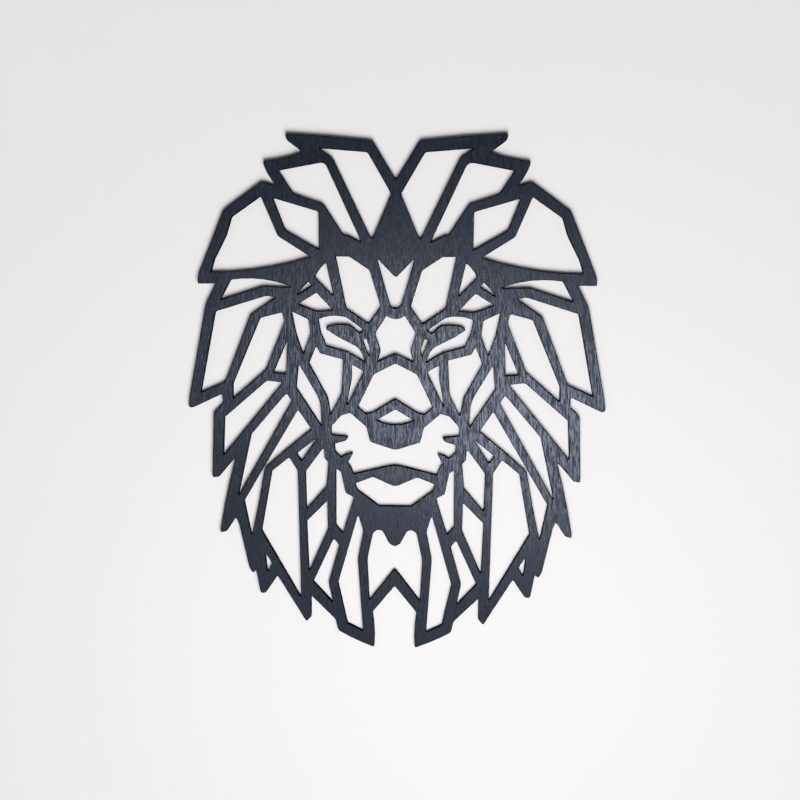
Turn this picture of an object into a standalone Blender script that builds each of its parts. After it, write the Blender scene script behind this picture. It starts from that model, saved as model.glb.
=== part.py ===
"""A lion head wall panel: one thin plate of stained plywood, cut through so that bars and facets draw the head.

The drawing is in millimetres at full size. X runs to the viewer's right from the centre line of the face, and
Z runs up from the forehead, where the origin is. The plate hangs with its back on the wall, the plane Y = 0, and
its front faces -Y. Only the left half is drawn: the outline and the windows are mirrored about the centre line.
"""

import math

import bpy
from mathutils import Vector

# Driving dimensions, in metres
PANEL_HEIGHT = 0.4015
PANEL_THICKNESS = 0.003

# How far, in millimetres, a straight step may lie off the curve that it stands for
CURVE_TOLERANCE = 0.12
# The most of a side that one rounded corner takes, so that the arcs of neighbouring corners never meet
LARGEST_CUT_SHARE = 0.46
# A corner that turns by less than this stays sharp
STRAIGHT_ENOUGH = math.radians(0.5)

STAIN_COLOUR = (0.045, 0.058, 0.078, 1.0)
STAIN_ROUGHNESS = 0.62


def corner(x, z, radius=0.0):
    """A corner of an outline, rounded to the radius."""
    return (x, z, radius)


def through(x, z):
    """A point where the side between its two neighbours passes, which makes that side a circular arc."""
    return (x, z, None)


# The outer edge, from the dip between the two top locks down the left side to the middle of the bottom
OUTER_EDGE = [
    # Crown
    corner(0, 39.9, 0.5),
    corner(-17.3, 67.9, 3),
    through(-55, 71.3),
    corner(-81.9, 73, 1.5),
    corner(-80.8, 68.3, 4),
    # First lock
    corner(-69, 59.6, 0.5),
    through(-80, 56.3),
    corner(-98.3, 53.3, 1),
    corner(-98, 50.3, 5),
    through(-95.2, 44.2),
    corner(-89, 35.6, 0.5),
    # Shoulder of the mane
    corner(-99.5, 38.7, 4),
    corner(-129.1, 17.4, 5),
    corner(-149.9, -31, 12),
    corner(-150.2, -36.7, 0.5),
    # Widest lock
    corner(-136.2, -36.6, 0.5),
    corner(-144.9, -53.1, 15),
    corner(-159.5, -122.4, 12),
    corner(-160.8, -132.2, 1.5),
    corner(-157.5, -132.4, 5),
    # Lower side lock
    corner(-134, -121.2, 0.8),
    corner(-133.9, -129.2, 1.5),
    corner(-141.4, -136.3, 4),
    corner(-144, -188.2, 1),
    corner(-138.8, -187.6, 3),
    # Hanging lock
    corner(-125.2, -171.8, 0.5),
    through(-134.3, -207.4),
    corner(-139.4, -233.6, 1),
    corner(-133.9, -232.2, 3),
    # First strand of the beard
    corner(-126.3, -220.6, 0.8),
    corner(-124, -225.9, 6),
    corner(-116.6, -262.5, 3),
    corner(-113.9, -267.4, 1.2),
    # Second strand
    corner(-111.3, -264.2, 0.6),
    corner(-107.9, -284, 1.5),
    corner(-103.9, -283.6, 2.5),
    # Third strand
    corner(-94, -268.8, 0.8),
    corner(-75.3, -300.6, 6),
    corner(-71.3, -307.6, 0.8),
    corner(-67.2, -303, 1.5),
    # Longest strand and the fork below the chin
    corner(-67.1, -285.2, 0.6),
    corner(-47.4, -305.3, 5),
    corner(-45.5, -314.6, 3),
    through(-30, -322.8),
    corner(-16.4, -328.5, 1),
    through(-16, -317),
    corner(-17.7, -298.2, 1.5),
    corner(0, -275.8, 1),
]

# Windows on the left of the face, each of which has its twin on the right
PAIRED_WINDOWS = {
    "forelock": [
        corner(-57.4, 62.6, 0.4),
        corner(-21.3, 59.8, 2.5),
        corner(-3.6, 29.8, 3),
        corner(-18, -3.7, 0.8),
        corner(-46.6, 55.3, 3),
    ],
    "crown": [
        corner(-87, 46.6, 0.4),
        corner(-52.9, 52.9, 5),
        corner(-25.7, -5.7, 0.4),
        corner(-35.8, -0.5, 1.5),
        corner(-38.9, -0.3, 1.5),
        corner(-53.8, 22.4, 4),
        corner(-76, 29.7, 3),
    ],
    "temple": [
        corner(-91.7, 26.7, 0.5),
        corner(-57.7, 16.9, 2),
        corner(-57.7, -11, 0.4),
        corner(-82.6, 3.2, 4),
    ],
    "shoulder": [
        corner(-100.7, 28, 0.6),
        corner(-122.9, 12.8, 4),
        corner(-127.2, -0.5, 12),
        corner(-136.7, -18.3, 12),
        corner(-139.7, -27.9, 0.3),
        through(-101, -25),
        corner(-64.2, -16.4, 0.4),
        corner(-88.5, -1.1, 3),
    ],
    "shoulder sliver": [
        corner(-77.2, -39.4, 0.4),
        through(-103, -33),
        corner(-125, -33.7, 1.5),
        corner(-133.3, -48.9, 0.3),
        corner(-100, -38.3, 10),
    ],
    "widest lock": [
        corner(-91, -46.8, 0.4),
        corner(-98, -45.6, 8),
        corner(-137.5, -57.8, 1.5),
        corner(-150.8, -120.5, 0.4),
        corner(-131.5, -111.8, 5),
        corner(-110.7, -60.3, 3),
    ],
    "cheek lock": [
        corner(-86.4, -58.1, 1),
        corner(-103.4, -62.5, 2.5),
        corner(-125.6, -113.5, 5),
        corner(-125.6, -125, 0.4),
        corner(-99.9, -102.6, 5),
        corner(-84.5, -65.2, 6),
    ],
    "eye corner": [
        corner(-79.1, -57.3, 0.4),
        corner(-66.2, -63.4, 1.5),
        corner(-64.9, -74.8, 5),
        corner(-70.6, -90.2, 0.5),
        corner(-75.6, -75, 8),
    ],
    "cheek chip": [
        corner(-82.7, -78.9, 0.4),
        corner(-84.1, -105.1, 0.3),
        corner(-93.9, -104.4, 0.3),
    ],
    "inner brow sliver": [
        corner(-52.5, -20.4, 0.7),
        corner(-46.9, -45.8, 0.4),
        corner(-61, -31.2, 0.5),
        through(-57.3, -25),
    ],
    "brow chip": [
        corner(-66.2, -34.8, 0.4),
        corner(-63.3, -38, 0.4),
        corner(-75.6, -45.7, 0.3),
        corner(-71.3, -40.2, 2),
    ],
    "outer brow sliver": [
        corner(-60, -43, 0.8),
        corner(-47.5, -56.3, 0.4),
        corner(-60, -57.2, 12),
        corner(-74, -51.7, 0.4),
    ],
    "brow": [
        corner(-45.2, -15.9, 0.5),
        corner(-35, -16, 1),
        corner(-19.7, -26.1, 2.5),
        corner(-11.3, -53.5, 2),
        corner(-20.4, -66.3, 0.8),
        corner(-37.3, -54.8, 3),
    ],
    # The eyeball is the leaf of wood that reaches into this window from the nose
    "eye": [
        corner(-58.8, -63, 1),
        through(-47.5, -60.3),
        corner(-37.5, -61.5, 8),
        corner(-24.1, -71.2, 0.6),
        corner(-27.3, -73.6, 1),
        corner(-34, -67.4, 5),
        through(-43, -66.8),
        corner(-50, -67.8, 6),
        corner(-53.7, -70.2, 1),
        corner(-43.7, -76.6),
        corner(-30, -83.5, 4),
        corner(-26.6, -87, 3),
        corner(-22.9, -95.8, 0.4),
        corner(-36, -87.9, 15),
        corner(-52.6, -83.4, 2),
        corner(-57, -73, 10),
    ],
    "nose slit": [
        corner(-24.9, -79, 0.7),
        corner(-22.3, -77.2, 0.7),
        corner(-19.3, -86, 3),
        corner(-19.9, -91.4, 0.3),
    ],
    "cheek": [
        corner(-60.8, -83.1, 0.8),
        corner(-57.8, -89.1, 1.5),
        corner(-40, -93.7, 1),
        corner(-41.7, -121, 14),
        corner(-50, -136.9, 0.4),
        corner(-52, -123.5, 12),
        corner(-66.3, -96.9, 1.5),
    ],
    "muzzle sliver": [
        corner(-33.8, -97.3, 0.8),
        corner(-24.2, -102.8, 0.8),
        corner(-38, -131.2, 0.4),
        corner(-33.5, -108, 10),
    ],
    "jaw": [
        corner(-74.4, -97.2, 0.5),
        corner(-60.3, -121.8, 6),
        corner(-57.9, -128.5, 6),
        corner(-57, -146.1, 0.4),
        corner(-76.4, -115.9, 1.5),
    ],
    "lower side lock": [
        corner(-86.5, -112.1, 0.8),
        corner(-99, -110.6, 3),
        corner(-132.9, -139.9, 1.2),
        corner(-134.7, -170.3, 0.3),
    ],
    "hanging lock": [
        corner(-84.1, -120.2, 1),
        corner(-112.4, -153.2, 3),
        corner(-124.1, -203.6, 0.3),
        corner(-80.1, -126.7, 1.5),
    ],
    # Two windows that meet through a gap of about a millimetre
    "swept lock": [
        corner(-75.4, -133, 1),
        corner(-119.3, -207, 1),
        corner(-114, -236.2, 0.4),
        through(-107, -204.8),
        corner(-102.3, -180.3, 0.6),
        through(-83, -163.2),
        corner(-65.2, -148.7, 0.6),
    ],
    "jaw chip": [
        corner(-60.2, -154.7, 0.4),
        corner(-76.9, -168.1, 0.6),
        corner(-73.1, -174, 0.6),
    ],
    "beard side": [
        corner(-83, -171.2, 1),
        corner(-96.7, -182.4, 1),
        corner(-105.9, -231.2, 1),
        corner(-75.2, -287.4, 0.5),
        corner(-76.3, -182, 4),
    ],
    "upper beard": [
        corner(-55.5, -162.6, 0.8),
        corner(-55, -172, 1),
        corner(-52.2, -174.6, 1),
        corner(-53.9, -194.3, 0.8),
        corner(-69.7, -212.9, 0.4),
        corner(-70.2, -182.5, 2.5),
    ],
    "middle beard": [
        corner(-53.3, -206, 0.5),
        corner(-53, -229.3, 4),
        corner(-68.5, -264.7, 0.4),
        corner(-69.8, -222.9, 1),
    ],
    "chin side": [
        corner(-46.2, -179.9, 0.5),
        corner(-42.2, -182.5, 2),
        corner(-38.9, -199.3, 1.5),
        corner(-32.2, -202.9, 1),
        corner(-41.2, -232.2, 0.5),
        corner(-46.5, -225.7, 2),
    ],
    "beard chip": [
        corner(-103.7, -249.6, 0.6),
        corner(-98.1, -258.8, 0.8),
        corner(-102, -266.2, 0.5),
    ],
    "lower beard": [
        corner(-48.5, -236.9, 0.8),
        corner(-44.2, -242.6, 1.5),
        corner(-53, -274, 4),
        corner(-49.5, -291, 0.4),
        corner(-65.1, -273.3, 0.8),
    ],
    "longest strand": [
        corner(-29, -216.5, 0.6),
        corner(-24.9, -230.8, 8),
        corner(-29.4, -253.5, 10),
        corner(-25.5, -314.7, 0.6),
        corner(-37.9, -308.4, 1.5),
        corner(-45.3, -273.9, 3),
    ],
}

# The left halves of the windows on the centre line, from the top of each to its bottom
CENTRE_WINDOWS = {
    "forehead": [
        corner(0, -31.6, 2),
        corner(-14.3, -17, 0.4),
        corner(-6.6, -44, 20),
        corner(-3.2, -54.6, 4),
    ],
    "nose bridge": [
        through(0, -62.5),
        corner(-6.9, -60, 0.5),
        corner(-15.6, -73.7, 3),
        corner(-11.3, -87, 5),
        corner(-13.8, -95.3, 0.3),
        corner(0, -88.6, 4),
    ],
    "nose": [
        corner(0, -96.4, 2),
        corner(-16.6, -104.9, 3.5),
        corner(-28.9, -130.4, 1),
        corner(-22.8, -135.9, 1.5),
        corner(-17.3, -134.7, 10),
        corner(0, -123.8, 3),
    ],
    "upper lip": [
        corner(0, -132.1, 1.5),
        corner(-14.4, -140.7, 0.3),
        through(0, -144.2),
    ],
    # Two whisker spikes reach into the mouth from each side
    "mouth": [
        corner(0, -164.3, 8),
        corner(-19.4, -158, 2),
        corner(-22.1, -146.4, 4),
        corner(-35, -135.2, 1.5),
        corner(-41.7, -137.2, 2),
        corner(-49.6, -145.9, 1.2),
        corner(-49.5, -152.6, 0.3),
        corner(-36, -153.9, 0.8),
        corner(-38.5, -157.3, 3),
        corner(-47.1, -159.8, 0.6),
        corner(-46.7, -166, 2),
        corner(-41.9, -170.4, 0.8),
        through(-37, -167.6),
        corner(-32.4, -166.5, 0.8),
        corner(-37, -175, 0.4),
        corner(-34.5, -178.3, 3),
        corner(-32.5, -183.8, 0.3),
        corner(0, -175.8, 20),
    ],
    "lower lip": [
        corner(0, -193.9, 8),
        corner(-17.3, -186, 3),
        corner(-31.5, -191.6, 1),
        corner(-29.2, -196.9, 3),
        corner(-12.5, -209.5, 3),
    ],
    "chin": [
        corner(0, -243.1, 3.5),
        corner(-4.4, -240.2, 4),
        corner(-9.6, -230.1, 2.5),
        corner(-13.4, -228.9, 2.5),
        corner(-17.3, -231.9, 3),
        corner(-21.9, -254, 12),
        corner(-20.2, -288.2, 0.4),
        corner(0, -261, 1.5),
    ],
}


def mirrored(outline):
    """The same outline on the other side of the centre line."""
    return [(-x, z, radius) for x, z, radius in reversed(outline)]


def whole(left_half):
    """A half outline joined to its mirror image. Points on the centre line are used once."""
    return left_half + [point for point in mirrored(left_half) if point[0] != 0]


def arc_steps(radius, angle):
    """The number of straight steps that keep an arc within the curve tolerance."""
    flat_enough = 2 * math.acos(1 - min(CURVE_TOLERANCE / radius, 0.5))
    return max(1, math.ceil(abs(angle) / flat_enough))


def turned(vector, angle):
    return Vector((
        vector.x * math.cos(angle) - vector.y * math.sin(angle),
        vector.x * math.sin(angle) + vector.y * math.cos(angle),
    ))


def arc(centre, start, angle):
    """The points of an arc that turns from start by the angle round the centre, both ends included."""
    spoke = start - centre
    steps = arc_steps(spoke.length, angle)
    return [centre + turned(spoke, angle * step / steps) for step in range(steps + 1)]


def arc_through(start, middle, end):
    """The points between start and end on the circular arc that passes the middle point."""
    first = middle - start
    second = end - start
    cross = first.cross(second)
    centre = start + Vector((
        (second.y * first.length_squared - first.y * second.length_squared) / (2 * cross),
        (first.x * second.length_squared - second.x * first.length_squared) / (2 * cross),
    ))
    half_chord = second.length / 2
    radius = (start - centre).length
    angle = 2 * math.asin(min(1, half_chord / radius))
    return arc(centre, start, math.copysign(angle, cross))[1:-1]


def with_arcs(outline):
    """The outline with each side that passes a through point replaced by the corners of its arc."""
    corners = []
    for index, (x, z, radius) in enumerate(outline):
        if radius is not None:
            corners.append((Vector((x, z)), radius))
            continue
        before = Vector(outline[index - 1][:2])
        after = Vector(outline[(index + 1) % len(outline)][:2])
        corners += [(point, 0.0) for point in arc_through(before, Vector((x, z)), after)]
    return corners


def rounded(outline):
    """The points of the outline, with each corner turned into an arc of its radius."""
    corners = with_arcs(outline)
    points = []
    for index, (here, radius) in enumerate(corners):
        back = corners[index - 1][0] - here
        ahead = corners[(index + 1) % len(corners)][0] - here
        turn = math.pi - back.angle(ahead)
        if radius == 0 or turn < STRAIGHT_ENOUGH:
            points.append(here)
            continue
        cut = min(radius * math.tan(turn / 2), LARGEST_CUT_SHARE * min(back.length, ahead.length))
        fitted_radius = cut / math.tan(turn / 2)
        middle = (back.normalized() + ahead.normalized()).normalized()
        centre = here + middle * fitted_radius / math.cos(turn / 2)
        start = here + back.normalized() * cut
        points += arc(centre, start, math.copysign(turn, ahead.cross(back)))
    return points


def stained_wood():
    """Dark blue-black stain that lies flat in the wood."""
    material = bpy.data.materials.new("stained_plywood")
    material.use_nodes = True
    shader = material.node_tree.nodes["Principled BSDF"]
    shader.inputs["Base Color"].default_value = STAIN_COLOUR
    shader.inputs["Roughness"].default_value = STAIN_ROUGHNESS
    shader.inputs["Metallic"].default_value = 0.0
    material.diffuse_color = STAIN_COLOUR
    return material


def add_loop(curve, outline, scale):
    """Adds a closed spline of straight steps to the curve."""
    points = rounded(outline)
    spline = curve.splines.new("POLY")
    spline.points.add(len(points) - 1)
    for target, point in zip(spline.points, points):
        target.co = (point.x * scale, point.y * scale, 0.0, 1.0)
    spline.use_cyclic_u = True
    return len(points)


def make_panel(collection):
    """The whole plate, as one flat filled curve with the windows cut out of it."""
    heights = [z for _, z, _ in OUTER_EDGE]
    scale = PANEL_HEIGHT / (max(heights) - min(heights))
    curve = bpy.data.curves.new("lion_head_panel", "CURVE")
    curve.dimensions = "2D"
    curve.fill_mode = "BOTH"
    curve.extrude = PANEL_THICKNESS / 2
    outlines = [whole(OUTER_EDGE)]
    for window in PAIRED_WINDOWS.values():
        outlines += [window, mirrored(window)]
    outlines += [whole(window) for window in CENTRE_WINDOWS.values()]
    corner_count = sum(add_loop(curve, outline, scale) for outline in outlines)
    curve.materials.append(stained_wood())
    panel = bpy.data.objects.new("lion_head_panel", curve)
    # The curve lies in its own XY plane, so it is stood up with its thickness in front of the wall
    panel.rotation_euler = (math.pi / 2, 0.0, 0.0)
    panel.location = (0.0, -PANEL_THICKNESS / 2, 0.0)
    collection.objects.link(panel)
    print(len(outlines) - 1, "windows and", corner_count, "points in the outlines")
    return panel


def main():
    for leftover in list(bpy.data.objects):
        bpy.data.objects.remove(leftover, do_unlink=True)
    collection = bpy.data.collections.new("lion_head_wall_panel")
    bpy.context.scene.collection.children.link(collection)
    make_panel(collection)


main()
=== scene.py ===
# %% [markdown]
# # A lion head cut from one sheet of plywood
#
# The real object is a flat wall panel. A thin sheet of plywood is stained blue-black and cut
# through with a laser, so that the bars left between its windows draw a lion's face and mane. It
# lies flat on a pale wall.
#
# The solid plate comes ready made, at its real size. This script dresses it: it models the plate
# that is seen, with a scorched rim, eased edges and glue lines in its cut walls. It gives every
# surface its finish, and sets up the wall, the light and the camera.

# %% Load the plate
import math

import bmesh
import bpy
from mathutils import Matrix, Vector
from mathutils.geometry import delaunay_2d_cdt


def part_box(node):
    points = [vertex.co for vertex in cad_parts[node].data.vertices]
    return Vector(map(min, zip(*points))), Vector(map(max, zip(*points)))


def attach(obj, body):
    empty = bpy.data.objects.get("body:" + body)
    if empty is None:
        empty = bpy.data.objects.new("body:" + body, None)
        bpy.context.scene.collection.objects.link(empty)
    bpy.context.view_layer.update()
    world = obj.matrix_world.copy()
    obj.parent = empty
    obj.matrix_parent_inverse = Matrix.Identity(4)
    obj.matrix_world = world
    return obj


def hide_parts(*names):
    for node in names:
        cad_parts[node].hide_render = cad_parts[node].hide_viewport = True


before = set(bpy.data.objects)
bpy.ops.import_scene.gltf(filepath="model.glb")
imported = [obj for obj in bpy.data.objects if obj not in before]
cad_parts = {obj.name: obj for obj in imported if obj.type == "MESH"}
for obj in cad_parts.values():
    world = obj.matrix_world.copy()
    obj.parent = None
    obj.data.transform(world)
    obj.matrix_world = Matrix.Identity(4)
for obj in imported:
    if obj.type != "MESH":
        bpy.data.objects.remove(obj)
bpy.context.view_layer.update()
front_corner, back_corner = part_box("lion_head_panel")
panel_width = back_corner.x - front_corner.x
panel_height = back_corner.z - front_corner.z
thickness = back_corner.y - front_corner.y
print(f"plate {panel_width * 1000:.1f} x {thickness * 1000:.1f} x {panel_height * 1000:.1f} mm")

# %% [markdown]
# ## The camera
#
# The photograph was taken from about 66 cm away and from about the height of the forehead, with
# the lens tipped ten degrees down. Two more small turns bring the picture's slight slant. A camera
# object could track a target, but a target can't give that slant, so the place and the three turns
# are written as they are.

# %% Place the camera
CAMERA_PLACE = (0.0275, -0.6576, -0.0078)
CAMERA_TURN_DEGREES = (79.887, -0.262, 2.139)
LENS_MM = 38.925
SENSOR_MM = 36.0
NEAREST_SEEN = 0.01
FARTHEST_SEEN = 50.0

camera_data = bpy.data.cameras.new("camera")
camera_data.lens = LENS_MM
camera_data.sensor_width = SENSOR_MM
camera_data.clip_start = NEAREST_SEEN
camera_data.clip_end = FARTHEST_SEEN
camera = bpy.data.objects.new("camera", camera_data)
camera.location = CAMERA_PLACE
camera.rotation_euler = [math.radians(angle) for angle in CAMERA_TURN_DEGREES]
bpy.context.scene.collection.objects.link(camera)
bpy.context.scene.camera = camera
print(f"camera {-CAMERA_PLACE[1] * 1000:.0f} mm from the wall, with a {LENS_MM} mm lens")

# %% [markdown]
# ## Helpers for node trees
#
# Materials and Geometry Nodes are both trees of nodes. Clicked together by hand they are easy to
# see, but written in code each node costs several lines. The first helper adds one node, sets its
# options, and fills each input with a value or with a link, so that a tree reads from top to
# bottom like a recipe. The other two do the same for sums on numbers and on vectors.

# %% Add one node
def add_node(tree, kind, inputs=None, **options):
    """Adds a node. Each input takes a plain value, or the output socket that is linked to it."""
    node = tree.nodes.new(kind)
    for name, value in options.items():
        setattr(node, name, value)
    for socket, value in (inputs or {}).items():
        if isinstance(value, bpy.types.NodeSocket):
            tree.links.new(value, node.inputs[socket])
        else:
            node.inputs[socket].default_value = value
    return node


def math_node(tree, operation, *values):
    """The result of one sum on numbers or sockets."""
    node = add_node(tree, "ShaderNodeMath", dict(enumerate(values)), operation=operation)
    return node.outputs[0]


def vector_node(tree, operation, output, *values):
    """The named result of one sum on vectors or sockets."""
    node = add_node(tree, "ShaderNodeVectorMath", dict(enumerate(values)), operation=operation)
    return node.outputs[output]


# %% [markdown]
# ## Wood grain
#
# The face veneer is stained, not painted, so its grain shows. It is made of streaks almost a
# millimetre wide and a centimetre long, with finer and shorter fibres between them. They run up
# the panel, drift a little sideways, and lean outwards further down. A picture of wood could be
# wrapped on, but it would blur close up and repeat. Noise that is stretched along the fibres gives
# the same streaks at any size. It reads the object's own coordinates, so the grain stays put when
# the panel moves.
#
# Each size below is the width, depth and height of one spot of noise, in metres.

# %% Grain on object coordinates
FIBRE_LEAN = 0.4
DRIFT_WIDTH = 0.0014
DRIFT_LENGTH = 0.070
STREAK_SIZE = (0.00080, 0.005, 0.0090)
FIBRE_SIZE = (0.00058, 0.003, 0.0042)
DASH_SIZE = (0.0010, 0.004, 0.0035)
GROOVE_SIZE = (0.0004, 0.002, 0.0120)
BAND_SIZE = (0.016, 0.050, 0.160)
CLOUD_SIZE = (0.050, 0.050, 0.070)


def along_fibres(tree):
    """Object coordinates that follow the fibres: a straight line in them is a fibre's path."""
    place = add_node(tree, "ShaderNodeTexCoord").outputs["Object"]
    drift = add_node(tree, "ShaderNodeTexNoise", {
        "Vector": place,
        "Scale": 1.0 / DRIFT_LENGTH,
        "Detail": 1.0,
    }).outputs["Fac"]
    across, depth, up = add_node(tree, "ShaderNodeSeparateXYZ", {"Vector": place}).outputs
    lean = math_node(tree, "MULTIPLY", math_node(tree, "MULTIPLY", across, up), FIBRE_LEAN)
    sideways = math_node(tree, "MULTIPLY_ADD", drift, 2.0 * DRIFT_WIDTH, lean)
    return add_node(tree, "ShaderNodeCombineXYZ", {
        "X": math_node(tree, "ADD", across, sideways),
        "Y": depth,
        "Z": up,
    }).outputs["Vector"]


def stretched_noise(tree, place, size, detail=2.0):
    """Noise from 0 to 1 whose spots are as wide, deep and tall as the size."""
    spots_per_metre = [1.0 / length for length in size]
    return add_node(tree, "ShaderNodeTexNoise", {
        "Vector": vector_node(tree, "MULTIPLY", "Vector", place, spots_per_metre),
        "Scale": 1.0,
        "Detail": detail,
    }).outputs["Fac"]


def spread(tree, value, low, high):
    """The value stretched so that low becomes 0 and high becomes 1."""
    return add_node(tree, "ShaderNodeMapRange", {
        "Value": value,
        "From Min": low,
        "From Max": high,
    }).outputs["Result"]


for grain, size in (("streaks", STREAK_SIZE), ("fibres", FIBRE_SIZE), ("dashes", DASH_SIZE)):
    print(f"{grain} {size[0] * 1000:.2f} mm wide and {size[2] * 1000:.1f} mm long")

# %% [markdown]
# ## The stained face
#
# The stain sinks deep into the soft early wood and stays thin on the hard fibres, so the streaks
# differ in colour, in gloss and in height. All three come from the same noise here, as they do in
# wood: a light streak is also the smooth and raised one. Streaks and fibres together say where the
# wood is polished. Dashes stand for short pores, and broad bands and clouds for a coat that isn't
# even.
#
# The Bump node turns the heights, here in millimetres, into tilted normals. They break the lamp's
# reflection up into bright threads. A flat dark colour with gloss would look like plastic.

# %% Make the stained face
STAIN_DEEP = (0.0018, 0.0030, 0.0070, 1.0)
STAIN_MEAN = (0.0034, 0.0053, 0.0112, 1.0)
STAIN_THIN = (0.0130, 0.0180, 0.0300, 1.0)
DEEP_AT = 0.22
MEAN_AT = 0.48
THIN_AT = 0.80
SHEEN_TINT = (0.72, 0.79, 1.0, 1.0)
DULL_ROUGHNESS = 0.60
POLISHED_ROUGHNESS = 0.25
NOISE_RANGE = (0.30, 0.70)
DASH_RANGE = (0.56, 0.70)
POLISHED_RANGE = (0.35, 0.58)
MILLIMETRE = 0.001

FIBRES_STREAKS = (0.45, 0.55)
POLISHED_DASHES_FIBRES = (0.60, 0.20, 0.20)
HEIGHT_BANDS_CLOUDS = (0.70, 0.16, 0.14)
POLISHED_FIBRES_GROOVES_MM = (0.015, 0.10, 0.06)


def new_material(name):
    """A material with an empty tree, and its shader, linked to the output."""
    material = bpy.data.materials.new(name)
    material.use_nodes = True
    tree = material.node_tree
    tree.nodes.clear()
    shader = add_node(tree, "ShaderNodeBsdfPrincipled")
    add_node(tree, "ShaderNodeOutputMaterial", {"Surface": shader.outputs["BSDF"]})
    return material, tree, shader


def weighted_sum(tree, values, weights):
    """The values added up, each times its weight."""
    total = math_node(tree, "MULTIPLY", values[0], weights[0])
    for value, weight in zip(values[1:], weights[1:]):
        total = math_node(tree, "MULTIPLY_ADD", value, weight, total)
    return total


def add_bump(tree, shader, height, distance, strength=1.0):
    """Tilts the shader's normals by the height, which is as high as the distance where it is 1."""
    bump = add_node(tree, "ShaderNodeBump", {
        "Height": height,
        "Strength": strength,
        "Distance": distance,
    })
    tree.links.new(bump.outputs["Normal"], shader.inputs["Normal"])


def stained_face():
    material, tree, shader = new_material("stained_plywood_face")
    place = along_fibres(tree)
    streaks = stretched_noise(tree, place, STREAK_SIZE, detail=0.0)
    fibres = stretched_noise(tree, place, FIBRE_SIZE, detail=0.0)
    grooves = stretched_noise(tree, place, GROOVE_SIZE, detail=0.0)
    dashes = spread(tree, stretched_noise(tree, place, DASH_SIZE), *DASH_RANGE)
    bands = spread(tree, stretched_noise(tree, place, BAND_SIZE), *NOISE_RANGE)
    clouds = spread(tree, stretched_noise(tree, place, CLOUD_SIZE), *NOISE_RANGE)
    mixed = weighted_sum(tree, (fibres, streaks), FIBRES_STREAKS)
    polished = spread(tree, mixed, *POLISHED_RANGE)
    height = weighted_sum(tree, (polished, dashes, fibres), POLISHED_DASHES_FIBRES)
    relief = weighted_sum(tree, (polished, fibres, grooves), POLISHED_FIBRES_GROOVES_MM)
    tone = weighted_sum(tree, (height, bands, clouds), HEIGHT_BANDS_CLOUDS)
    stain = add_node(tree, "ShaderNodeValToRGB", {"Fac": tone})
    ramp = stain.color_ramp.elements
    ramp[0].position = DEEP_AT
    ramp[0].color = STAIN_DEEP
    ramp[1].position = THIN_AT
    ramp[1].color = STAIN_THIN
    ramp.new(MEAN_AT).color = STAIN_MEAN
    gloss = add_node(tree, "ShaderNodeMapRange", {
        "Value": polished,
        "To Min": DULL_ROUGHNESS,
        "To Max": POLISHED_ROUGHNESS,
    })
    tree.links.new(stain.outputs["Color"], shader.inputs["Base Color"])
    tree.links.new(gloss.outputs["Result"], shader.inputs["Roughness"])
    add_bump(tree, shader, relief, MILLIMETRE)
    shader.inputs["Specular Tint"].default_value = SHEEN_TINT
    return material


face_finish = stained_face()
print(face_finish.name, "has", len(face_finish.node_tree.nodes), "nodes")

# %% [markdown]
# ## The scorched edge and its painted shade
#
# A laser burns its way through the sheet, so the cut walls are charred, and so is a narrow rim of
# the face beside them. Their colour is darker than char alone: the near black is partly char and
# partly painted shade, the shade that falls into the cuts. The three plies still show: thin glue
# lines run round the wall, and the crossed middle ply is a little browner. The beam pulses as it
# travels, which leaves fine marks straight through the thickness. On object coordinates those marks
# are noise that hardly changes with depth. Char hardly shines, so the specular level is close to
# nothing.

# %% Make the scorched edge
VENEER = 0.0008
# Near black, darker than char alone: partly char, partly painted shade in the cuts. The core's
# brown is darkened with it.
CHAR_AND_SHADE = (0.0010, 0.0010, 0.0012, 1.0)
SCORCHED_CORE = (0.0036, 0.0030, 0.0028, 1.0)
CHAR_ROUGHNESS = 0.9
CHAR_SPECULAR = 0.02
PULSE_SIZE = (0.0004, 0.010, 0.0004)
PULSE_SHARE = 0.7
PULSE_HEIGHT = 0.0001
PULSE_STRENGTH = 0.5


def mix_colours(tree, share, one, other):
    """The first colour where the share is 0, and the second where it is 1."""
    return add_node(tree, "ShaderNodeMix", {
        "Factor": share,
        "A": one,
        "B": other,
    }, data_type="RGBA").outputs["Result"]


def scorched_and_shaded_edge():
    material, tree, shader = new_material("scorched_plies_and_shade")
    place = add_node(tree, "ShaderNodeTexCoord").outputs["Object"]
    depth = add_node(tree, "ShaderNodeSeparateXYZ", {"Vector": place}).outputs["Y"]
    from_middle = math_node(tree, "ABSOLUTE", math_node(tree, "ADD", depth, thickness / 2))
    in_core = math_node(tree, "LESS_THAN", from_middle, thickness / 2 - VENEER)
    pulses = spread(tree, stretched_noise(tree, place, PULSE_SIZE), *NOISE_RANGE)
    browned = math_node(tree, "MULTIPLY_ADD", pulses, PULSE_SHARE, 1.0 - PULSE_SHARE)
    amount = math_node(tree, "MULTIPLY", in_core, browned)
    colour = mix_colours(tree, amount, CHAR_AND_SHADE, SCORCHED_CORE)
    tree.links.new(colour, shader.inputs["Base Color"])
    add_bump(tree, shader, pulses, PULSE_HEIGHT, PULSE_STRENGTH)
    shader.inputs["Roughness"].default_value = CHAR_ROUGHNESS
    shader.inputs["Specular IOR Level"].default_value = CHAR_SPECULAR
    return material


edge_finish = scorched_and_shaded_edge()
print(edge_finish.name, "has", len(edge_finish.node_tree.nodes), "nodes")

# %% [markdown]
# ## The back
#
# Nobody sees the back on the wall, and such backs are wiped with the same stain only once. The
# finish is the same wood with less of everything: thinner colour, no sheen, and only the streaks
# and the clouds of the face.

# %% Make the plain back
BACK_DEEP = (0.0200, 0.0215, 0.0240, 1.0)
BACK_THIN = (0.0520, 0.0520, 0.0520, 1.0)
BACK_ROUGHNESS = 0.85
BACK_STREAKS_CLOUDS = (0.5, 0.5)
BACK_RELIEF = 0.0002
BACK_RELIEF_STRENGTH = 0.3


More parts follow.
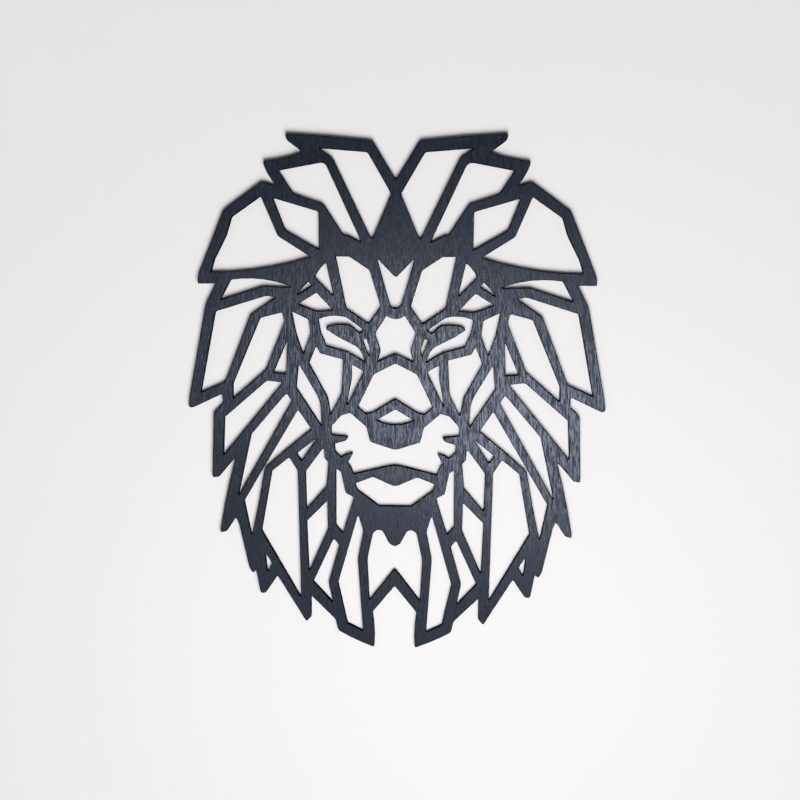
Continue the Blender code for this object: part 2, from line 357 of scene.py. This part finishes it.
def plain_back():
    material, tree, shader = new_material("stained_plywood_back")
    place = along_fibres(tree)
    streaks = spread(tree, stretched_noise(tree, place, STREAK_SIZE), *NOISE_RANGE)
    clouds = spread(tree, stretched_noise(tree, place, CLOUD_SIZE), *NOISE_RANGE)
    tone = weighted_sum(tree, (streaks, clouds), BACK_STREAKS_CLOUDS)
    colour = mix_colours(tree, tone, BACK_DEEP, BACK_THIN)
    tree.links.new(colour, shader.inputs["Base Color"])
    add_bump(tree, shader, streaks, BACK_RELIEF, BACK_RELIEF_STRENGTH)
    shader.inputs["Roughness"].default_value = BACK_ROUGHNESS
    return material


back_finish = plain_back()
print(back_finish.name, "has", len(back_finish.node_tree.nodes), "nodes")

# %% [markdown]
# ## The front face of the plate
#
# The shape that is seen starts from the solid plate, because every window is already in its right
# place there. Only the triangles that face forward are kept, as a flat sheet with 65 holes. The
# rest of the plate follows from that sheet by a rule, so it is made again, finer, further on.
#
# Each corner of the sheet's rims also gets a direction that points into the wood and is as long as
# a mitre: moving every corner by it draws the whole outline in by the same width. A scale could do
# that for a circle, but not for a lion.

# %% Take the front face and measure its mitres
SAME_POINT = 1e-6
FACES_FORWARD = -0.99
LONGEST_MITRE = 2.5


def forward_sheet(node):
    """The triangles of the node that face forward, as one sheet."""
    sheet = bmesh.new()
    sheet.from_mesh(node.data)
    bmesh.ops.remove_doubles(sheet, verts=sheet.verts, dist=SAME_POINT)
    sheet.normal_update()
    others = [face for face in sheet.faces if face.normal.y > FACES_FORWARD]
    bmesh.ops.delete(sheet, geom=others, context="FACES")
    loose = [vertex for vertex in sheet.verts if not vertex.link_faces]
    bmesh.ops.delete(sheet, geom=loose, context="VERTS")
    sheet.verts.index_update()
    return sheet


def mitre(one, other):
    """The step that moves a corner one unit in from both of its sides, kept short at sharp tips."""
    step = (one + other) / max(1.0 + one.dot(other), SAME_POINT)
    return step * min(1.0, LONGEST_MITRE / max(step.length, SAME_POINT))


def add_mitres(sheet):
    """Gives each corner on a rim its inward step, as a layer of the sheet."""
    inward_layer = sheet.verts.layers.float_vector.new("inward")
    sides = {}
    for edge in sheet.edges:
        if edge.is_boundary:
            loop = edge.link_loops[0]
            along = loop.link_loop_next.vert.co - loop.vert.co
            inward = loop.face.normal.cross(along).normalized()
            for vertex in edge.verts:
                sides.setdefault(vertex, []).append(inward)
    for vertex, (one, other) in sides.items():
        vertex[inward_layer] = mitre(one, other)
    return inward_layer


sheet = forward_sheet(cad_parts["lion_head_panel"])
inward_layer = add_mitres(sheet)
print(len(sheet.faces), "triangles on the front face,", len(sheet.verts), "corners on its rims")

# %% [markdown]
# ## New triangles for the face
#
# The stained face ends half a millimetre before the cut, where the scorched rim begins: a
# near-black band round every outline that is partly char and partly painted shade. Its corners
# have to move in by that width, and some of its triangles are so long and thin that the move would
# turn them over. So the face gets new triangles, chosen for the places that its corners will have.
# A Delaunay triangulation does that: it makes them as plump as the outline allows. It fills the
# windows too, so a triangle is only kept where its middle is wood.

# %% Lay new triangles
# The width of the near-black rim on the face: partly char, partly painted shade along the outlines.
CHAR_AND_SHADE_RIM = 0.00050
ROUNDING = SAME_POINT / 100
TRIANGLES_INSIDE = 1


def is_wood(point, rims):
    """True where a line from the point to the right crosses an odd number of rim edges."""
    crossings = 0
    for one, other in rims:
        if (one.y > point.y) != (other.y > point.y):
            along = (point.y - one.y) / (other.y - one.y)
            crossings += point.x < one.x + along * (other.x - one.x)
    return crossings % 2 == 1


def lay_triangles(sheet, inward_layer, drawn_in):
    """Gives the sheet new triangles that suit its outline once it is drawn in."""
    corners = list(sheet.verts)
    moved = [corner.co + corner[inward_layer] * drawn_in for corner in corners]
    points = [Vector((place.x, place.z)) for place in moved]
    rim_edges = [edge for edge in sheet.edges if edge.is_boundary]
    pairs = [[vertex.index for vertex in edge.verts] for edge in rim_edges]
    rims = [(points[one], points[other]) for one, other in pairs]
    found = delaunay_2d_cdt(points, pairs, [], TRIANGLES_INSIDE, ROUNDING)
    places, triangles, sources = found[0], found[2], found[3]
    inner_edges = [edge for edge in sheet.edges if not edge.is_boundary]
    bmesh.ops.delete(sheet, geom=list(sheet.faces), context="FACES_ONLY")
    bmesh.ops.delete(sheet, geom=inner_edges, context="EDGES")
    for triangle in triangles:
        middle = sum((places[index] for index in triangle), Vector((0.0, 0.0))) / 3
        if is_wood(middle, rims):
            sheet.faces.new([corners[sources[index][0]] for index in triangle])
    print(len(corners), "corners before and", len(places), "after")


lay_triangles(sheet, inward_layer, CHAR_AND_SHADE_RIM)
face_mesh = bpy.data.meshes.new("lion_head_plate")
sheet.to_mesh(face_mesh)
sheet.free()
print(len(face_mesh.polygons), "new triangles")

# %% [markdown]
# ## The cut walls
#
# The wall round every window has the same section: a flat scorched rim, a small eased edge, the
# front veneer, a glue line, the core, the second glue line, the back veneer, and the back edge. A
# Bevel modifier could ease the edges, but it can't draw the plies. The section is a list of points
# instead, each with a step into the wood and a depth behind the front.
#
# Neither is written in metres. They are shares of sizes that the tree will have as inputs, so the
# same list serves a thicker plate or a thinner glue line. The back half mirrors the front half.

# %% List the section of a cut wall
EASED_EDGE = 0.00022
EASING_STEPS = 3
GLUE_LINE = 0.00012
GLUE_DEPTH = 0.00008

STEP_SIZES = ("Char and shade rim", "Eased edge", "Glue depth")
DEPTH_SIZES = ("Eased edge", "Veneer", "Glue line", "Thickness")


def wall_section():
    """The section from front to back, as shares of the step sizes and of the depth sizes."""
    front_half = [((0, 1, 0), (0, 0, 0, 0))]
    for step in range(1, EASING_STEPS + 1):
        turn = math.pi / 2 * step / EASING_STEPS
        front_half.append(((0, 1 - math.sin(turn), 0), (1 - math.cos(turn), 0, 0, 0)))
    front_half.append(((0, 0, 0), (0, 1, -1, 0)))
    front_half.append(((0, 0, 1), (0, 1, 0, 0)))
    front_half.append(((0, 0, 0), (0, 1, 1, 0)))
    back_half = []
    for step, (eased, veneer, glue, whole) in reversed(front_half):
        back_half.append((step, (-eased, -veneer, -glue, 1 - whole)))
    return front_half + back_half + [((1, 0, 0), (0, 0, 0, 1))]


print(len(wall_section()), "points in the section of a wall")

# %% [markdown]
# ## Steps of the plate's tree
#
# Geometry Nodes can follow one rule for all 66 outlines at once. The tree draws the face in by the
# width of the scorched rim. Each corner first remembers its home on the outline, since every point
# of the section is counted from there. The back is the same face, moved to the wall and turned
# over.

# %% Draw the face in and copy it to the back
def corner_vector(tree, name):
    """The vector that each corner carries under the name."""
    kind = "GeometryNodeInputNamedAttribute"
    return add_node(tree, kind, {"Name": name}, data_type="FLOAT_VECTOR").outputs["Attribute"]


def scaled(tree, vector, factor):
    """The vector times the factor."""
    inputs = {0: vector, "Scale": factor}
    return add_node(tree, "ShaderNodeVectorMath", inputs, operation="SCALE").outputs["Vector"]


def drawn_in_face(tree, given):
    """The front face, drawn in by the width of the scorched rim."""
    remembered = add_node(tree, "GeometryNodeStoreNamedAttribute", {
        "Geometry": given["Face"],
        "Name": "home",
        "Value": add_node(tree, "GeometryNodeInputPosition").outputs["Position"],
    }, data_type="FLOAT_VECTOR", domain="POINT")
    return add_node(tree, "GeometryNodeSetPosition", {
        "Geometry": remembered.outputs["Geometry"],
        "Offset": scaled(tree, corner_vector(tree, "inward"), given["Char and shade rim"]),
    }).outputs["Geometry"]


def copied_to_back(tree, face, given):
    """The same face on the side of the wall."""
    to_wall = add_node(tree, "ShaderNodeCombineXYZ", {"Y": given["Thickness"]})
    moved = add_node(tree, "GeometryNodeTransform", {
        "Geometry": face,
        "Translation": to_wall.outputs["Vector"],
    })
    turned = add_node(tree, "GeometryNodeFlipFaces", {"Mesh": moved.outputs["Geometry"]})
    return turned.outputs["Mesh"]


# %% [markdown]
# ## Walls that grow from the rims
#
# A rim is found by its edges, which have only one face beside them. For each point of the section,
# the tree pulls a new row of faces out of the last row's edge, sets that edge in its place, and
# marks the row as cut. Then walls and back are welded where they meet. The flat faces stay flat,
# and the walls are shaded smooth, but not across a sharp bend.

# %% Pull out the walls and weld the plate
SMOOTH_BELOW = math.radians(40)
FLAT_SLOPE = 0.999
WELD_DISTANCE = 5 * SAME_POINT


def pulled_walls(tree, face, given):
    """The face with one row of faces round each rim for each point of the section."""
    home = corner_vector(tree, "home")
    inward = corner_vector(tree, "inward")
    beside = add_node(tree, "GeometryNodeInputMeshEdgeNeighbors").outputs["Face Count"]
    row_edge = add_node(tree, "FunctionNodeCompare", {
        "A": beside,
        "B": 1,
    }, data_type="INT", operation="EQUAL").outputs["Result"]
    step_sizes = [given[name] for name in STEP_SIZES]
    depth_sizes = [given[name] for name in DEPTH_SIZES]
    walls = face
    for step_shares, depth_shares in wall_section():
        row = add_node(tree, "GeometryNodeExtrudeMesh", {
            "Mesh": walls,
            "Selection": row_edge,
            "Offset Scale": 0.0,
        }, mode="EDGES")
        row_edge = row.outputs["Top"]
        step = scaled(tree, inward, weighted_sum(tree, step_sizes, step_shares))
        depth = add_node(tree, "ShaderNodeCombineXYZ", {
            "Y": weighted_sum(tree, depth_sizes, depth_shares),
        }).outputs["Vector"]
        place = vector_node(tree, "ADD", "Vector", home, step)
        placed = add_node(tree, "GeometryNodeSetPosition", {
            "Geometry": row.outputs["Mesh"],
            "Selection": row_edge,
            "Position": vector_node(tree, "ADD", "Vector", place, depth),
        })
        walls = add_node(tree, "GeometryNodeStoreNamedAttribute", {
            "Geometry": placed.outputs["Geometry"],
            "Selection": row.outputs["Side"],
            "Name": "is_cut",
            "Value": True,
        }, data_type="BOOLEAN", domain="FACE").outputs["Geometry"]
    return walls


def backward_slope(tree):
    """How far each face is turned to the wall: 1 on the back, 0 on an upright cut, -1 in front."""
    normal = add_node(tree, "GeometryNodeInputNormal").outputs["Normal"]
    return add_node(tree, "ShaderNodeSeparateXYZ", {"Vector": normal}).outputs["Y"]


def welded(tree, parts):
    """The parts joined at their rims, with smooth walls between sharp bends."""
    joined = add_node(tree, "GeometryNodeJoinGeometry")
    for part in parts:
        tree.links.new(part, joined.inputs["Geometry"])
    shape = add_node(tree, "GeometryNodeMergeByDistance", {
        "Geometry": joined.outputs["Geometry"],
        "Distance": WELD_DISTANCE,
    }).outputs["Geometry"]
    slope = math_node(tree, "ABSOLUTE", backward_slope(tree))
    is_wall = math_node(tree, "LESS_THAN", slope, FLAT_SLOPE)
    bend = add_node(tree, "GeometryNodeInputMeshEdgeAngle").outputs["Unsigned Angle"]
    is_gentle = add_node(tree, "FunctionNodeCompare", {
        "A": bend,
        "B": SMOOTH_BELOW,
    }, operation="LESS_THAN").outputs["Result"]
    for domain, smooth in (("FACE", is_wall), ("EDGE", is_gentle)):
        shape = add_node(tree, "GeometryNodeSetShadeSmooth", {
            "Geometry": shape,
            "Shade Smooth": smooth,
        }, domain=domain).outputs["Geometry"]
    return shape


# %% [markdown]
# ## The whole plate
#
# The face gets its finish before it is copied, so the back and the walls start with it too. The
# tree ends by making the shape real and giving out the other two: the back's to what looks at the
# wall, then the scorched one to what was marked as cut. The tree has a named input for each size
# and finish. A modifier knows its inputs by identifiers, so one is looked up by its name before its
# value is set. The result is turned into a plain mesh that can be exported, and the modifier is
# taken off. The plate then takes the solid's place in the frame.

# %% Make the plate and put it in the frame
PLATE_SIZES = {
    "Char and shade rim": CHAR_AND_SHADE_RIM,
    "Eased edge": EASED_EDGE,
    "Veneer": VENEER,
    "Glue line": GLUE_LINE,
    "Glue depth": GLUE_DEPTH,
    "Thickness": thickness,
}
PLATE_FINISHES = {
    "Face finish": face_finish,
    "Back finish": back_finish,
    "Edge finish": edge_finish,
}


def set_finish(tree, geometry, finish, selection=True):
    """The geometry with the finish on its selected faces."""
    return add_node(tree, "GeometryNodeSetMaterial", {
        "Geometry": geometry,
        "Selection": selection,
        "Material": finish,
    }).outputs["Geometry"]


def plate_tree():
    """The node tree that turns the front face into the whole plate."""
    tree = bpy.data.node_groups.new("plate_from_its_face", "GeometryNodeTree")
    tree.interface.new_socket("Face", in_out="INPUT", socket_type="NodeSocketGeometry")
    for name in PLATE_SIZES:
        tree.interface.new_socket(name, in_out="INPUT", socket_type="NodeSocketFloat")
    for name in PLATE_FINISHES:
        tree.interface.new_socket(name, in_out="INPUT", socket_type="NodeSocketMaterial")
    tree.interface.new_socket("Plate", in_out="OUTPUT", socket_type="NodeSocketGeometry")
    given = tree.nodes.new("NodeGroupInput").outputs
    face = set_finish(tree, drawn_in_face(tree, given), given["Face finish"])
    back = copied_to_back(tree, face, given)
    walls = pulled_walls(tree, face, given)
    shape = welded(tree, (back, walls))
    is_back = math_node(tree, "GREATER_THAN", backward_slope(tree), FLAT_SLOPE)
    is_cut = add_node(tree, "GeometryNodeInputNamedAttribute", {
        "Name": "is_cut",
    }, data_type="BOOLEAN").outputs["Attribute"]
    shape = add_node(tree, "GeometryNodeRealizeInstances", {"Geometry": shape}).outputs["Geometry"]
    shape = set_finish(tree, shape, given["Back finish"], is_back)
    shape = set_finish(tree, shape, given["Edge finish"], is_cut)
    add_node(tree, "NodeGroupOutput", {"Plate": shape})
    return tree


def set_input(modifier, name, value):
    """Sets a modifier's input by the name that its tree gives it."""
    for item in modifier.node_group.interface.items_tree:
        if item.name == name and item.in_out == "INPUT":
            modifier[item.identifier] = value


plate = bpy.data.objects.new("lion_head_plate", face_mesh)
bpy.context.scene.collection.objects.link(plate)
modifier = plate.modifiers.new("plate", "NODES")
modifier.node_group = plate_tree()
for name, value in (PLATE_SIZES | PLATE_FINISHES).items():
    set_input(modifier, name, value)
evaluated = plate.evaluated_get(bpy.context.evaluated_depsgraph_get())
finished_mesh = bpy.data.meshes.new_from_object(evaluated)
plate.modifiers.remove(modifier)
plate.data = finished_mesh
for name in ("home", "inward", "is_cut"):
    finished_mesh.attributes.remove(finished_mesh.attributes[name])
triangles = sum(len(face.vertices) - 2 for face in finished_mesh.polygons)
print(triangles, "triangles, finishes", [finish.name for finish in finished_mesh.materials])

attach(plate, "root")
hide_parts("lion_head_panel")

# %% [markdown]
# ## White plaster that evens out the lamp
#
# The wall in the photograph is almost evenly bright, though its soft shadows say that a lamp
# stands near it. Plain white plaster would burn out beside such a lamp and go grey further off. A
# lamp further off would light it evenly, but the shadows would be hard. So the plaster takes the
# lamp's dimming into its own colour: it is darkest where the lamp is nearest, and lightens with
# the distance squared over the slant of the light.
#
# The plaster is solid from the room's side and clear from behind, where Backfacing is 1, so the
# back of the panel can be looked at as well.

# %% Make the plaster
SHADOW_LAMP_PLACE = Vector((0.080, -0.44, -0.34))
LEAST_SLANT = 0.05
PAINT_AT_THE_LAMP = 0.15
PAINT_GROWTH = 0.70
PAINT_GREEN = 0.978
PAINT_BLUE = 0.985
WHITEST_PAINT = 0.93
PLASTER_ROUGHNESS = 0.9


def lamp_dimming(tree, surface):
    """How many times less light a point gets than the place on the wall right behind the lamp."""
    place = add_node(tree, "ShaderNodeTexCoord").outputs["Object"]
    ray = vector_node(tree, "SUBTRACT", "Vector", tuple(SHADOW_LAMP_PLACE), place)
    length = vector_node(tree, "LENGTH", "Value", ray)
    far = math_node(tree, "DIVIDE", length, -SHADOW_LAMP_PLACE.y)
    direction = vector_node(tree, "NORMALIZE", "Vector", ray)
    slant = vector_node(tree, "DOT_PRODUCT", "Value", direction, surface.outputs["Normal"])
    slant = math_node(tree, "MAXIMUM", slant, LEAST_SLANT)
    return math_node(tree, "DIVIDE", math_node(tree, "MULTIPLY", far, far), slant)


def plaster():
    material, tree, shader = new_material("white_plaster")
    surface = add_node(tree, "ShaderNodeNewGeometry")
    growth = math_node(tree, "POWER", lamp_dimming(tree, surface), PAINT_GROWTH)
    white = math_node(tree, "MULTIPLY", growth, PAINT_AT_THE_LAMP)
    white = math_node(tree, "MINIMUM", white, WHITEST_PAINT)
    tint = add_node(tree, "ShaderNodeCombineColor", {
        "Red": white,
        "Green": math_node(tree, "MULTIPLY", white, PAINT_GREEN),
        "Blue": math_node(tree, "MULTIPLY", white, PAINT_BLUE),
    })
    tree.links.new(tint.outputs["Color"], shader.inputs["Base Color"])
    shader.inputs["Roughness"].default_value = PLASTER_ROUGHNESS
    one_sided = add_node(tree, "ShaderNodeMixShader", {
        0: surface.outputs["Backfacing"],
        1: shader.outputs["BSDF"],
        2: add_node(tree, "ShaderNodeBsdfTransparent").outputs["BSDF"],
    })
    output = next(item for item in tree.nodes if item.type == "OUTPUT_MATERIAL")
    tree.links.new(one_sided.outputs["Shader"], output.inputs["Surface"])
    return material


wall_finish = plaster()
print(wall_finish.name, "has", len(wall_finish.node_tree.nodes), "nodes")

# %% [markdown]
# ## The wall and the floor
#
# The panel needs something to lie on, or it would float without a shadow. One sheet serves as wall
# and floor, joined by a wide cove so that no line crosses the picture. Two planes would be quicker
# to make, but their corner would show as a line. The wall stands a hair's breadth behind the
# panel, because two surfaces in the same place would flicker.

# %% Make the wall and the floor
WALL_GAP = 0.0002
WALL_HALF_WIDTH = 2.5
WALL_TOP = 1.6
FLOOR_LEVEL = -1.1
FLOOR_FRONT = -3.0
COVE_RADIUS = 0.35
COVE_STEPS = 16


def backdrop_profile():
    """The section from the wall's top, round the cove, to the floor's front edge, as Y and Z."""
    centre_y = WALL_GAP - COVE_RADIUS
    centre_z = FLOOR_LEVEL + COVE_RADIUS
    profile = [(WALL_GAP, WALL_TOP)]
    for step in range(COVE_STEPS + 1):
        turn = math.pi / 2 * step / COVE_STEPS
        y = centre_y + COVE_RADIUS * math.cos(turn)
        z = centre_z - COVE_RADIUS * math.sin(turn)
        profile.append((y, z))
    profile.append((FLOOR_FRONT, FLOOR_LEVEL))
    return profile


def make_backdrop():
    """The sheet of wall and floor, as an object."""
    profile = backdrop_profile()
    left = [(-WALL_HALF_WIDTH, y, z) for y, z in profile]
    right = [(WALL_HALF_WIDTH, y, z) for y, z in profile]
    count = len(profile)
    faces = [(row, row + 1, count + row + 1, count + row) for row in range(count - 1)]
    mesh = bpy.data.meshes.new("wall_and_floor")
    mesh.from_pydata(left + right, [], faces)
    mesh.shade_smooth()
    mesh.materials.append(wall_finish)
    backdrop = bpy.data.objects.new("wall_and_floor", mesh)
    bpy.context.scene.collection.objects.link(backdrop)
    print("the wall faces", [round(value, 2) for value in mesh.polygons[0].normal])
    return backdrop


backdrop = make_backdrop()

# %% [markdown]
# ## The lamp at the lower right
#
# In the photograph a lamp stands near the panel, low and to the right: shadows fall up and to the
# left, and the stain shines most on the right cheek. One lamp can't give both the softness of the
# shadows and the shape of the sheen, so there are two, and light linking says which object each of
# them lights. The shadow lamp is a wide ball of light for the wall alone. The sheen lamp is a flat
# ellipse for the panel alone, tilted so that its reflection lies across the cheek.

# %% Add the shadow lamp and the sheen lamp
PANEL_MIDDLE = Vector((0.03, 0.0, -0.12))
SHADOW_LAMP_RADIUS = 0.23
SHADOW_LAMP_WATTS = 53.0
SHEEN_PLACE = Vector((0.130, -0.80, -0.265))
SHEEN_TURN = math.radians(-20.0)
SHEEN_WIDTH = 0.74
SHEEN_HEIGHT = 0.28
SHEEN_WATTS = 5.3


def add_lamp(name, kind, place, watts, lit, turn=0.0):
    """A lamp that points at the panel, isn't seen itself, and lights only the given object."""
    data = bpy.data.lights.new(name, kind)
    data.energy = watts
    lamp = bpy.data.objects.new(name, data)
    lamp.location = place
    lamp.rotation_euler = (PANEL_MIDDLE - place).to_track_quat("-Z", "Y").to_euler()
    lamp.rotation_euler.rotate_axis("Z", turn)
    lamp.visible_camera = False
    bpy.context.scene.collection.objects.link(lamp)
    lamp.light_linking.receiver_collection = bpy.data.collections.new("lit_by_" + name)
    lamp.light_linking.receiver_collection.objects.link(lit)
    print(f"{name} lights {lit.name} with {watts:.1f} W")
    return lamp


shadow_lamp = add_lamp(
    "shadow_lamp", "POINT", SHADOW_LAMP_PLACE, SHADOW_LAMP_WATTS, backdrop)
shadow_lamp.data.shadow_soft_size = SHADOW_LAMP_RADIUS
sheen_lamp = add_lamp("sheen_lamp", "AREA", SHEEN_PLACE, SHEEN_WATTS, plate, SHEEN_TURN)
sheen_lamp.data.shape = "ELLIPSE"
sheen_lamp.data.size = SHEEN_WIDTH
sheen_lamp.data.size_y = SHEEN_HEIGHT

# %% [markdown]
# ## Light from both sides
#
# A room is never lit by one lamp alone. On each side a large disk gives the panel's face a little
# light, so that it isn't black when it is looked at from the side. A second lamp on each side
# lights the wall and the floor, so that the shadows keep some light in their darkest part.

# %% Add the side lamps and the room lamps
SIDE_LAMP_PLACE = Vector((1.0, -1.0, -0.6))
SIDE_LAMP_WATTS = 2.2
SIDE_LAMP_SIZE = 1.3
ROOM_LAMP_PLACE = Vector((2.2, -1.4, 0.6))
ROOM_LAMP_WATTS = 45.0
ROOM_LAMP_RADIUS = 0.5

for name, side in (("left", -1), ("right", 1)):
    place = Vector((side * SIDE_LAMP_PLACE.x, SIDE_LAMP_PLACE.y, SIDE_LAMP_PLACE.z))
    side_lamp = add_lamp(name + "_side_lamp", "AREA", place, SIDE_LAMP_WATTS, plate)
    side_lamp.data.shape = "DISK"
    side_lamp.data.size = SIDE_LAMP_SIZE
    place = Vector((side * ROOM_LAMP_PLACE.x, ROOM_LAMP_PLACE.y, ROOM_LAMP_PLACE.z))
    room_lamp = add_lamp(name + "_room_lamp", "POINT", place, ROOM_LAMP_WATTS, backdrop)
    room_lamp.data.shadow_soft_size = ROOM_LAMP_RADIUS

# %% [markdown]
# ## Light for the back
#
# Behind the wall it would be dark. A disk there lights the panel's back. The wall looks clear from
# behind, but it would still stop the light on its way, so it is left out of the lamp's blockers,
# the objects that may throw a shadow.

# %% Add the back lamp
BACK_LAMP_PLACE = Vector((-0.9, 1.2, -0.3))
BACK_LAMP_WATTS = 30.0
BACK_LAMP_SIZE = 1.2

back_lamp = add_lamp("back_lamp", "AREA", BACK_LAMP_PLACE, BACK_LAMP_WATTS, plate)
back_lamp.data.shape = "DISK"
back_lamp.data.size = BACK_LAMP_SIZE
linking = back_lamp.light_linking
linking.blocker_collection = linking.receiver_collection

# %% [markdown]
# ## The room
#
# The world's even light stands for the rest of the room. It is dim and a little blue, which cools
# the shadows. Where the camera sees past the wall, a pale grey looks better than that dimness, and
# Is Camera Ray tells the two apart. The Standard view shows colours as they are, where a filmic
# one would grey the white wall.

# %% Fill the room with dim light
ROOM_STRENGTH = 0.07
ROOM_COLOUR = (0.88, 0.94, 1.16, 1.0)
PALE_STRENGTH = 0.85
PALE_COLOUR = (1.0, 1.0, 1.0, 1.0)

world = bpy.data.worlds.new("pale_room")
world.use_nodes = True
room = world.node_tree
room.nodes.clear()
seen = add_node(room, "ShaderNodeLightPath").outputs["Is Camera Ray"]
dim = add_node(room, "ShaderNodeBackground", {"Color": ROOM_COLOUR, "Strength": ROOM_STRENGTH})
pale = add_node(room, "ShaderNodeBackground", {"Color": PALE_COLOUR, "Strength": PALE_STRENGTH})
mixed = add_node(room, "ShaderNodeMixShader", {0: seen, 1: dim.outputs[0], 2: pale.outputs[0]})
add_node(room, "ShaderNodeOutputWorld", {"Surface": mixed.outputs[0]})
bpy.context.scene.world = world
bpy.context.scene.view_settings.view_transform = "Standard"
print("the room's light has a strength of", ROOM_STRENGTH)
